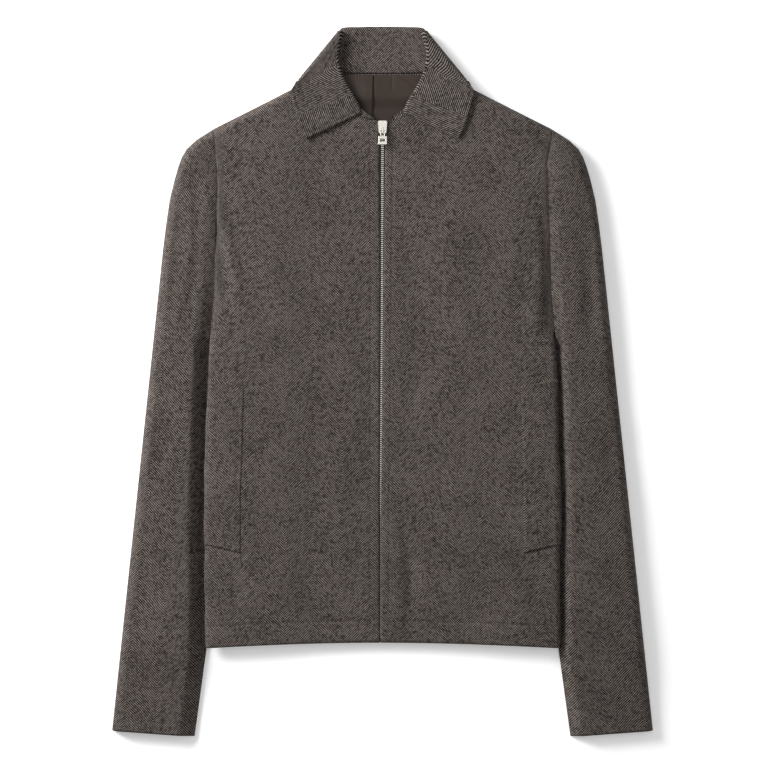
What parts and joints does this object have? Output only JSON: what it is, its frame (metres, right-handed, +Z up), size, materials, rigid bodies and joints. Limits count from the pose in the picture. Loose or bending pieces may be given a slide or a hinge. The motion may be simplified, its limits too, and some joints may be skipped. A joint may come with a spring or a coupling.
{
  "type": "blouson jacket",
  "caption": "Collared zip-front blouson jacket in herringbone tweed with side pocket welts, laid flat on its back.",
  "frame": {"origin": "middle of the jacket's outline on the surface it lies on", "axes": "+Z up from the surface, +Y from hem to collar, +X across the chest towards the wearer's left side"},
  "size_m": [0.5966, 0.782, 0.0189],
  "materials": {
    "tweed": "herringbone wool tweed, brown-grey",
    "lining": "dark brown satin lining",
    "zip tape": "woven zip tape",
    "zip metal": "polished silver-coloured metal"
  },
  "bodies": {
    "jacket": {"back": "tweed", "front_left": "tweed", "front_right": "tweed", "sleeve_top_left": "tweed", "sleeve_top_right": "tweed", "sleeve_under_left": "tweed", "sleeve_under_right": "tweed", "collar_leaf": "tweed", "collar_stand": "tweed", "neck_lining": "lining", "pocket_welt_left": "tweed", "pocket_welt_right": "tweed", "zip_tape_left": "zip tape", "zip_tape_right": "zip tape", "zip_slider": "zip metal"},
    "pull_tab": {"zip_pull": "zip metal"}
  },
  "joints": [
    {"name": "pull_tab_hinge", "type": "hinge", "parent": "jacket", "child": "pull_tab", "pos_m": [0, 0.2753, 0.0161], "axis": [-1, 0, 0], "range_deg": [0, 150]}
  ]
}
